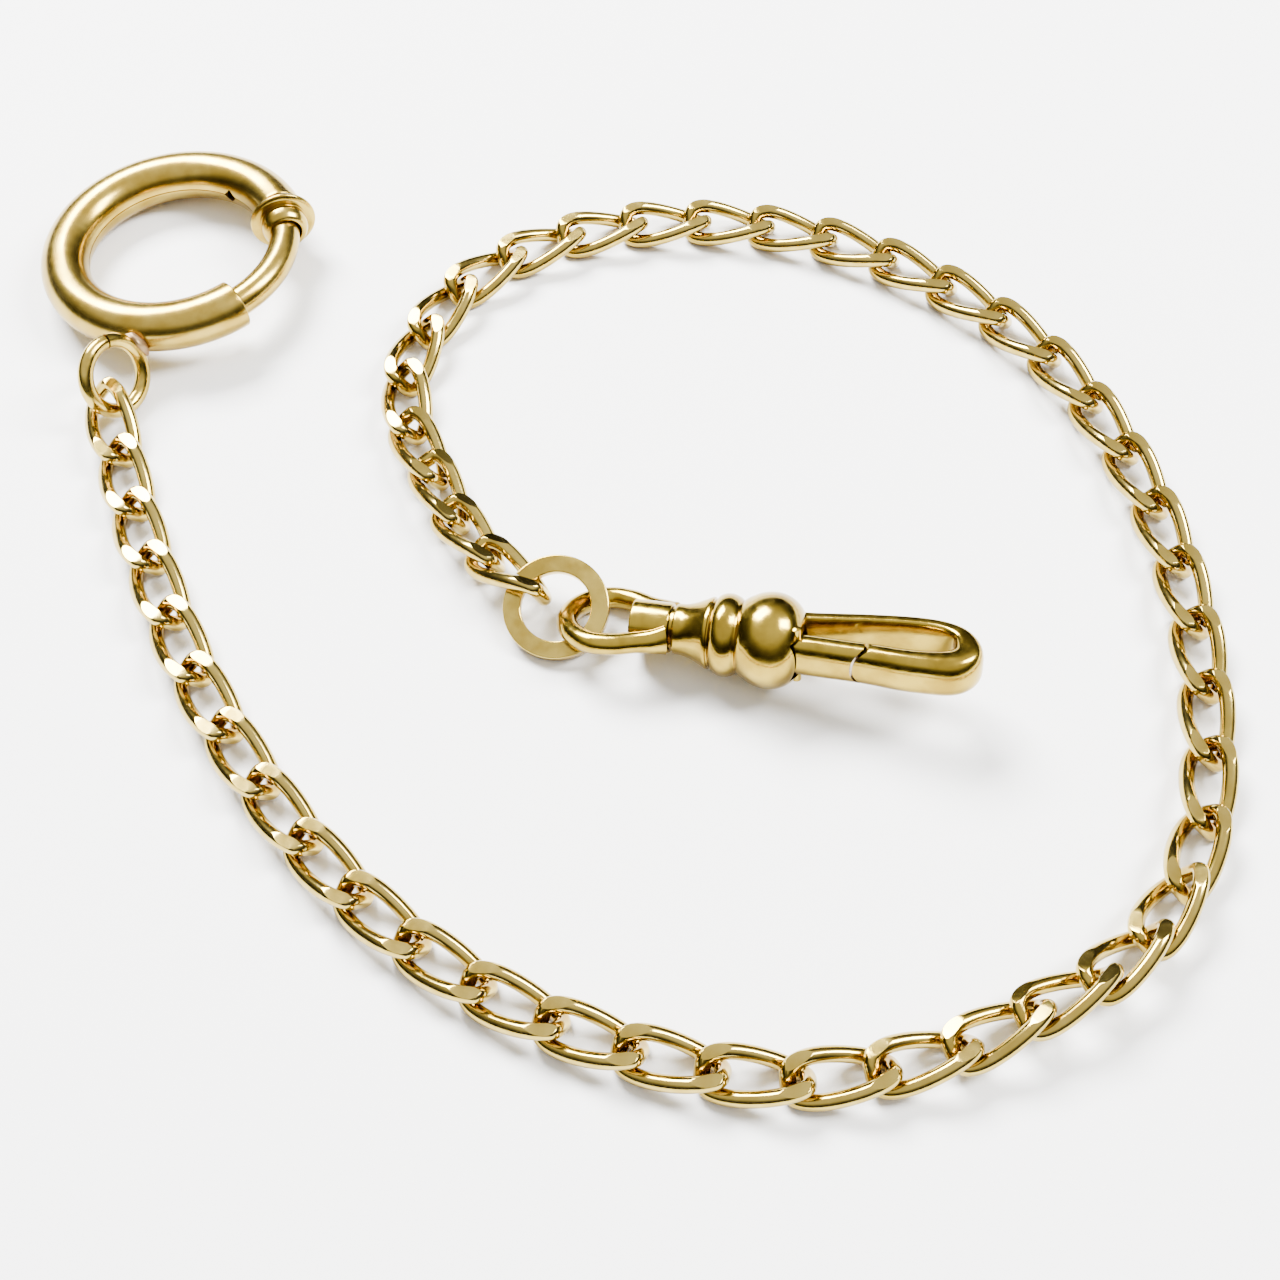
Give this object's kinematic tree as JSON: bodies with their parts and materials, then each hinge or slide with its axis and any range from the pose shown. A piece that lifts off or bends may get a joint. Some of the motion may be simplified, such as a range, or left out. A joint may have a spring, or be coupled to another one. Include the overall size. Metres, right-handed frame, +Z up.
{
  "type": "pocket watch chain",
  "caption": "Curb-link watch chain laid in a loose loop, with a spring ring clasp at one end and a swivel hook with a sprung gate at the other.",
  "frame": {"origin": "middle of the footprint of the laid-out chain, on the plane it lies on", "axes": "+Z up from the plane, +X along the longer side of the footprint, towards the swivel hook's nose side, +Y towards the spring ring side"},
  "size_m": [0.0938, 0.085, 0.0075],
  "materials": {
    "rose_gold": "polished, worn",
    "chain_gold": "polished",
    "ring_gold": "polished",
    "swivel_gold": "polished",
    "spring_steel": "plain"
  },
  "bodies": {
    "spring_ring": {"spring_ring_tube": "rose_gold", "spring_ring_spring": "spring_steel", "jump_ring": "ring_gold"},
    "ring_bolt": {"spring_ring_bolt": "rose_gold", "thumb_knob": "rose_gold"},
    "chain_link_01": {"chain_link_01": "chain_gold"},
    "chain_link_02": {"chain_link_02": "chain_gold"},
    "chain_link_03": {"chain_link_03": "chain_gold"},
    "chain_link_04": {"chain_link_04": "chain_gold"},
    "chain_link_05": {"chain_link_05": "chain_gold"},
    "chain_link_06": {"chain_link_06": "chain_gold"},
    "chain_link_07": {"chain_link_07": "chain_gold"},
    "chain_link_08": {"chain_link_08": "chain_gold"},
    "chain_link_09": {"chain_link_09": "chain_gold"},
    "chain_link_10": {"chain_link_10": "chain_gold"},
    "chain_link_11": {"chain_link_11": "chain_gold"},
    "chain_link_12": {"chain_link_12": "chain_gold"},
    "chain_link_13": {"chain_link_13": "chain_gold"},
    "chain_link_14": {"chain_link_14": "chain_gold"},
    "chain_link_15": {"chain_link_15": "chain_gold"},
    "chain_link_16": {"chain_link_16": "chain_gold"},
    "chain_link_17": {"chain_link_17": "chain_gold"},
    "chain_link_18": {"chain_link_18": "chain_gold"},
    "chain_link_19": {"chain_link_19": "chain_gold"},
    "chain_link_20": {"chain_link_20": "chain_gold"},
    "chain_link_21": {"chain_link_21": "chain_gold"},
    "chain_link_22": {"chain_link_22": "chain_gold"},
    "chain_link_23": {"chain_link_23": "chain_gold"},
    "chain_link_24": {"chain_link_24": "chain_gold"},
    "chain_link_25": {"chain_link_25": "chain_gold"},
    "chain_link_26": {"chain_link_26": "chain_gold"},
    "chain_link_27": {"chain_link_27": "chain_gold"},
    "chain_link_28": {"chain_link_28": "chain_gold"},
    "chain_link_29": {"chain_link_29": "chain_gold"},
    "chain_link_30": {"chain_link_30": "chain_gold"},
    "chain_link_31": {"chain_link_31": "chain_gold"},
    "chain_link_32": {"chain_link_32": "chain_gold"},
    "chain_link_33": {"chain_link_33": "chain_gold"},
    "chain_link_34": {"chain_link_34": "chain_gold"},
    "chain_link_35": {"chain_link_35": "chain_gold"},
    "chain_link_36": {"chain_link_36": "chain_gold"},
    "chain_link_37": {"chain_link_37": "chain_gold"},
    "chain_link_38": {"chain_link_38": "chain_gold"},
    "chain_link_39": {"chain_link_39": "chain_gold"},
    "chain_link_40": {"chain_link_40": "chain_gold"},
    "chain_link_41": {"chain_link_41": "chain_gold"},
    "chain_link_42": {"chain_link_42": "chain_gold"},
    "chain_link_43": {"chain_link_43": "chain_gold"},
    "chain_link_44": {"chain_link_44": "chain_gold"},
    "chain_link_45": {"chain_link_45": "chain_gold"},
    "chain_link_46": {"chain_link_46": "chain_gold"},
    "chain_link_47": {"chain_link_47": "chain_gold"},
    "flat_ring_body": {"flat_ring": "ring_gold"},
    "swivel_shank": {"swivel_collar": "swivel_gold", "swivel_stem": "swivel_gold", "swivel_bow": "swivel_gold"},
    "swivel_hook": {"swivel_body": "swivel_gold", "gate_pin": "swivel_gold", "gate_spring": "spring_steel"},
    "gate": {"swivel_gate": "swivel_gold"}
  },
  "joints": [
    {"name": "bolt_slide", "type": "hinge", "parent": "spring_ring", "child": "ring_bolt", "pos_m": [-0.03561, 0.03124, 0.00292], "axis": [-0.0677, 0.0548, 0.9962], "range_deg": [-42, 0], "stiffness_Nm_per_rad": 0.03, "springref_deg": 5.73},
    {"name": "gate_hinge", "type": "hinge", "parent": "swivel_hook", "child": "gate", "pos_m": [0.01484, -0.01007, 0.00429], "axis": [-0.0549, 0.2958, 0.9537], "range_deg": [0, 12], "stiffness_Nm_per_rad": 0.017, "springref_deg": -5.73},
    {"name": "swivel_spin", "type": "hinge", "parent": "swivel_shank", "child": "swivel_hook", "pos_m": [0.00594, -0.00691, 0.0028], "axis": [0.9663, -0.2249, 0.1253], "continuous": true},
    {"name": "flat_ring_to_bow", "type": "hinge", "parent": "flat_ring_body", "child": "swivel_shank", "pos_m": [-0.0017, -0.00514, 0.00181], "axis": [0.2566, 0.8797, -0.4004], "range_deg": [-24, 30]},
    {"name": "link_47_to_flat_ring", "type": "hinge", "parent": "chain_link_47", "child": "flat_ring_body", "pos_m": [-0.00382, -0.00383, 0.00265], "axis": [-0.3247, -0.1524, 0.9335], "range_deg": [-25, 25]},
    {"name": "jump_ring_to_link_01", "type": "hinge", "parent": "spring_ring", "child": "chain_link_01", "pos_m": [-0.03966, 0.01642, 0.00213], "axis": [0.6392, 0.1164, 0.7602], "range_deg": [-25, 25]},
    {"name": "link_01_to_02", "type": "hinge", "parent": "chain_link_01", "child": "chain_link_02", "pos_m": [-0.03747, 0.00997, 0.00128], "axis": [0.6295, 0.3069, -0.7138], "range_deg": [-30, 30]},
    {"name": "link_02_to_03", "type": "hinge", "parent": "chain_link_02", "child": "chain_link_03", "pos_m": [-0.03617, 0.00598, 0.00125], "axis": [-0.6182, -0.2562, -0.7431], "range_deg": [-30, 30]},
    {"name": "link_03_to_04", "type": "hinge", "parent": "chain_link_03", "child": "chain_link_04", "pos_m": [-0.03364, -0.0004, 0.00135], "axis": [-0.6261, -0.2363, 0.7431], "range_deg": [-30, 30]},
    {"name": "link_04_to_05", "type": "hinge", "parent": "chain_link_04", "child": "chain_link_05", "pos_m": [-0.03198, -0.00427, 0.00134], "axis": [0.5994, 0.2975, 0.7431], "range_deg": [-30, 30]},
    {"name": "link_05_to_06", "type": "hinge", "parent": "chain_link_05", "child": "chain_link_06", "pos_m": [-0.02893, -0.01042, 0.00134], "axis": [0.5994, 0.2975, -0.7431], "range_deg": [-30, 30]},
    {"name": "link_06_to_07", "type": "hinge", "parent": "chain_link_06", "child": "chain_link_07", "pos_m": [-0.02678, -0.01407, 0.00134], "axis": [-0.5523, -0.3777, -0.7431], "range_deg": [-30, 30]},
    {"name": "link_07_to_08", "type": "hinge", "parent": "chain_link_07", "child": "chain_link_08", "pos_m": [-0.02291, -0.01974, 0.00134], "axis": [-0.5523, -0.3777, 0.7431], "range_deg": [-30, 30]},
    {"name": "link_08_to_09", "type": "hinge", "parent": "chain_link_08", "child": "chain_link_09", "pos_m": [-0.0203, -0.02309, 0.00134], "axis": [0.4873, 0.4585, 0.7431], "range_deg": [-30, 30]},
    {"name": "link_09_to_10", "type": "hinge", "parent": "chain_link_09", "child": "chain_link_10", "pos_m": [-0.01559, -0.02809, 0.00134], "axis": [0.4873, 0.4585, -0.7431], "range_deg": [-30, 30]},
    {"name": "link_10_to_11", "type": "hinge", "parent": "chain_link_10", "child": "chain_link_11", "pos_m": [-0.01239, -0.03083, 0.00134], "axis": [-0.3746, -0.5545, -0.7431], "range_deg": [-30, 30]},
    {"name": "link_11_to_12", "type": "hinge", "parent": "chain_link_11", "child": "chain_link_12", "pos_m": [-0.00669, -0.03468, 0.00134], "axis": [-0.3746, -0.5545, 0.7431], "range_deg": [-30, 30]},
    {"name": "link_12_to_13", "type": "hinge", "parent": "chain_link_12", "child": "chain_link_13", "pos_m": [-0.00291, -0.03657, 0.00134], "axis": [0.2313, 0.6279, 0.7431], "range_deg": [-30, 30]},
    {"name": "link_13_to_14", "type": "hinge", "parent": "chain_link_13", "child": "chain_link_14", "pos_m": [0.00353, -0.03895, 0.00134], "axis": [0.2313, 0.6279, -0.7431], "range_deg": [-30, 30]},
    {"name": "link_14_to_15", "type": "hinge", "parent": "chain_link_14", "child": "chain_link_15", "pos_m": [0.00759, -0.04007, 0.00132], "axis": [-0.0707, -0.6654, -0.7431], "range_deg": [-30, 30]},
    {"name": "link_15_to_16", "type": "hinge", "parent": "chain_link_15", "child": "chain_link_16", "pos_m": [0.01441, -0.04082, 0.00135], "axis": [-0.0755, -0.6649, 0.7431], "range_deg": [-30, 30]},
    {"name": "link_16_to_17", "type": "hinge", "parent": "chain_link_16", "child": "chain_link_17", "pos_m": [0.01991, -0.03997, 0.00142], "axis": [-0.0752, 0.6649, -0.7431], "range_deg": [-24, 30]},
    {"name": "link_17_to_18", "type": "hinge", "parent": "chain_link_17", "child": "chain_link_18", "pos_m": [0.02524, -0.03844, 0.00162], "axis": [-0.1013, 0.4905, -0.8655], "range_deg": [-30, 30]},
    {"name": "link_18_to_19", "type": "hinge", "parent": "chain_link_18", "child": "chain_link_19", "pos_m": [0.0301, -0.03609, 0.00226], "axis": [0.0656, -0.3819, 0.9219], "range_deg": [-26, 22]},
    {"name": "link_19_to_20", "type": "hinge", "parent": "chain_link_19", "child": "chain_link_20", "pos_m": [0.03472, -0.03377, 0.00251], "axis": [0.0481, -0.2271, 0.9727], "range_deg": [-30, 30]},
    {"name": "link_20_to_21", "type": "hinge", "parent": "chain_link_20", "child": "chain_link_21", "pos_m": [0.0374, -0.03157, 0.00201], "axis": [-0.6954, 0.545, 0.4684], "range_deg": [-30, 30]},
    {"name": "link_21_to_22", "type": "hinge", "parent": "chain_link_21", "child": "chain_link_22", "pos_m": [0.04049, -0.02761, 0.00164], "axis": [-0.6291, 0.3241, 0.7066], "range_deg": [-30, 22]},
    {"name": "link_22_to_23", "type": "hinge", "parent": "chain_link_22", "child": "chain_link_23", "pos_m": [0.04298, -0.02263, 0.0014], "axis": [0.6542, -0.1405, -0.7431], "range_deg": [-30, 30]},
    {"name": "link_23_to_24", "type": "hinge", "parent": "chain_link_23", "child": "chain_link_24", "pos_m": [0.04436, -0.0159, 0.00134], "axis": [0.657, -0.1272, 0.7431], "range_deg": [-30, 30]},
    {"name": "link_24_to_25", "type": "hinge", "parent": "chain_link_24", "child": "chain_link_25", "pos_m": [0.04476, -0.01169, 0.00134], "axis": [-0.6691, 0.0102, 0.7431], "range_deg": [-30, 30]},
    {"name": "link_25_to_26", "type": "hinge", "parent": "chain_link_25", "child": "chain_link_26", "pos_m": [0.04486, -0.00482, 0.00134], "axis": [-0.6691, 0.0092, -0.7431], "range_deg": [-30, 30]},
    {"name": "link_26_to_27", "type": "hinge", "parent": "chain_link_26", "child": "chain_link_27", "pos_m": [0.04452, -0.00062, 0.00134], "axis": [0.6582, 0.1206, -0.7431], "range_deg": [-30, 30]},
    {"name": "link_27_to_28", "type": "hinge", "parent": "chain_link_27", "child": "chain_link_28", "pos_m": [0.04328, 0.00614, 0.00134], "axis": [0.6582, 0.1206, 0.7431], "range_deg": [-30, 30]},
    {"name": "link_28_to_29", "type": "hinge", "parent": "chain_link_28", "child": "chain_link_29", "pos_m": [0.0421, 0.01017, 0.00134], "axis": [-0.6183, -0.2559, 0.7431], "range_deg": [-30, 30]},
    {"name": "link_29_to_30", "type": "hinge", "parent": "chain_link_29", "child": "chain_link_30", "pos_m": [0.03947, 0.01652, 0.00134], "axis": [-0.6183, -0.2559, -0.7431], "range_deg": [-30, 30]},
    {"name": "link_30_to_31", "type": "hinge", "parent": "chain_link_30", "child": "chain_link_31", "pos_m": [0.03736, 0.0202, 0.00134], "axis": [0.5043, 0.4398, -0.7431], "range_deg": [-30, 30]},
    {"name": "link_31_to_32", "type": "hinge", "parent": "chain_link_31", "child": "chain_link_32", "pos_m": [0.03285, 0.02537, 0.00134], "axis": [0.5043, 0.4398, 0.7431], "range_deg": [-30, 30]},
    {"name": "link_32_to_33", "type": "hinge", "parent": "chain_link_32", "child": "chain_link_33", "pos_m": [0.02962, 0.0281, 0.00134], "axis": [-0.3692, -0.5581, 0.7431], "range_deg": [-30, 30]},
    {"name": "link_33_to_34", "type": "hinge", "parent": "chain_link_33", "child": "chain_link_34", "pos_m": [0.02389, 0.03189, 0.00134], "axis": [-0.3692, -0.5581, -0.7431], "range_deg": [-30, 30]},
    {"name": "link_34_to_35", "type": "hinge", "parent": "chain_link_34", "child": "chain_link_35", "pos_m": [0.02006, 0.0337, 0.00134], "axis": [0.1735, 0.6462, -0.7431], "range_deg": [-30, 30]},
    {"name": "link_35_to_36", "type": "hinge", "parent": "chain_link_35", "child": "chain_link_36", "pos_m": [0.01343, 0.03548, 0.00134], "axis": [0.1735, 0.6462, 0.7431], "range_deg": [-30, 30]},
    {"name": "link_36_to_37", "type": "hinge", "parent": "chain_link_36", "child": "chain_link_37", "pos_m": [0.00923, 0.0359, 0.00134], "axis": [0.0405, -0.6679, 0.7431], "range_deg": [-30, 30]},
    {"name": "link_37_to_38", "type": "hinge", "parent": "chain_link_37", "child": "chain_link_38", "pos_m": [0.00237, 0.03548, 0.00134], "axis": [0.0405, -0.6679, -0.7431], "range_deg": [-30, 30]},
    {"name": "link_38_to_39", "type": "hinge", "parent": "chain_link_38", "child": "chain_link_39", "pos_m": [-0.00174, 0.03446, 0.00134], "axis": [-0.2961, 0.6001, -0.7431], "range_deg": [-30, 30]},
    {"name": "link_39_to_40", "type": "hinge", "parent": "chain_link_39", "child": "chain_link_40", "pos_m": [-0.0079, 0.03142, 0.00134], "axis": [-0.2961, 0.6001, 0.7431], "range_deg": [-30, 30]},
    {"name": "link_40_to_41", "type": "hinge", "parent": "chain_link_40", "child": "chain_link_41", "pos_m": [-0.01202, 0.02768, 0.00134], "axis": [0.4352, -0.5082, -0.7431], "range_deg": [-30, 30]},
    {"name": "link_41_to_42", "type": "hinge", "parent": "chain_link_41", "child": "chain_link_42", "pos_m": [-0.01449, 0.02281, 0.00134], "axis": [0.5826, -0.329, -0.7431], "range_deg": [-30, 30]},
    {"name": "link_42_to_43", "type": "hinge", "parent": "chain_link_42", "child": "chain_link_43", "pos_m": [-0.01581, 0.01764, 0.00134], "axis": [-0.6423, 0.1877, 0.7431], "range_deg": [-30, 26]},
    {"name": "link_43_to_44", "type": "hinge", "parent": "chain_link_43", "child": "chain_link_44", "pos_m": [-0.01479, 0.01234, 0.00141], "axis": [-0.6645, -0.0788, 0.7431], "range_deg": [-30, 14]},
    {"name": "link_44_to_45", "type": "hinge", "parent": "chain_link_44", "child": "chain_link_45", "pos_m": [-0.01243, 0.00765, 0.00152], "axis": [0.4929, 0.2033, -0.846], "range_deg": [-8, 10]},
    {"name": "link_45_to_46", "type": "hinge", "parent": "chain_link_45", "child": "chain_link_46", "pos_m": [-0.01047, 0.00335, 0.00167], "axis": [0.3601, 0.1324, -0.9235], "range_deg": [-24, 30]},
    {"name": "link_46_to_47", "type": "hinge", "parent": "chain_link_46", "child": "chain_link_47", "pos_m": [-0.00746, -0.00063, 0.00188], "axis": [-0.3012, -0.1662, 0.939], "range_deg": [-30, 30]}
  ]
}
